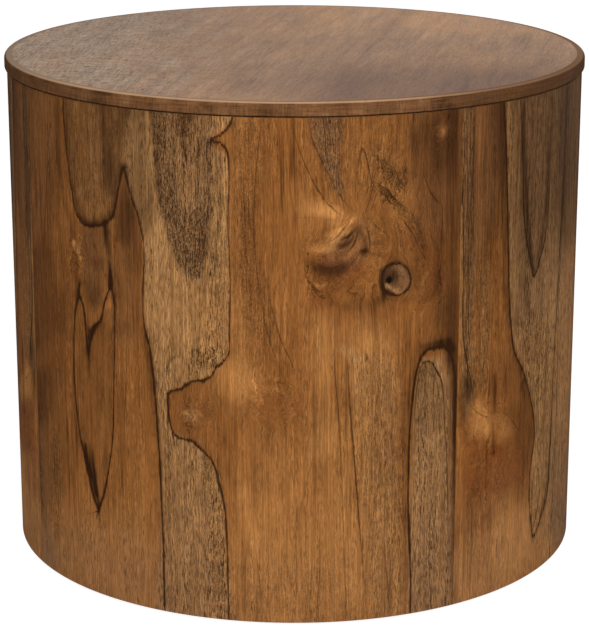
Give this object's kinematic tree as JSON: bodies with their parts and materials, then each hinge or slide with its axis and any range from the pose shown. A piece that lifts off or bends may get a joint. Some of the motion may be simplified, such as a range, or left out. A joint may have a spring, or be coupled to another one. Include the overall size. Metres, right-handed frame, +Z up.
{
  "type": "side table",
  "caption": "Round drum side table with an upright-grain teak veneer wall and a thin, slightly overhanging disc top with rounded lipping over a shadow gap",
  "frame": {"origin": "centre of the footprint, on the floor under the glides", "axes": "+Z up along the drum's axis; -Y is the front, the side that the picture shows; +X is to the right of it"},
  "size_m": [0.6, 0.6, 0.52],
  "materials": {
    "teak_veneer": "satin lacquered, wide rotary-cut leaves, upright grain on the wall",
    "solid_teak": "satin lacquered solid lipping",
    "plywood": "bare birch-faced plywood",
    "bending_plywood": "bare flexible plywood",
    "backing_veneer": "plain balancing veneer",
    "softwood": "planed, bare",
    "steel": "zinc plated",
    "glide_plastic": "matt"
  },
  "bodies": {
    "root": {"wall_veneer_front": "teak_veneer", "wall_veneer_right": "teak_veneer", "wall_veneer_back": "teak_veneer", "wall_veneer_left": "teak_veneer", "top_face_veneer": "teak_veneer", "lipping_1": "solid_teak", "lipping_2": "solid_teak", "lipping_3": "solid_teak", "lipping_4": "solid_teak", "top_core": "plywood", "top_backing_veneer": "backing_veneer", "ring_top": "plywood", "ring_middle": "plywood", "ring_bottom": "plywood", "batten_1": "softwood", "batten_2": "softwood", "batten_3": "softwood", "batten_4": "softwood", "batten_5": "softwood", "batten_6": "softwood", "batten_7": "softwood", "batten_8": "softwood", "skin_inner_1": "bending_plywood", "skin_inner_2": "bending_plywood", "skin_outer_1": "bending_plywood", "skin_outer_2": "bending_plywood", "base_panel": "plywood", "glide_1": "glide_plastic", "glide_2": "glide_plastic", "glide_3": "glide_plastic", "glide_4": "glide_plastic", "glide_nails": "steel", "top_screws": "steel", "base_panel_screws": "steel", "batten_screws_top": "steel", "batten_screws_middle": "steel", "batten_screws_bottom": "steel"}
  },
  "joints": []
}
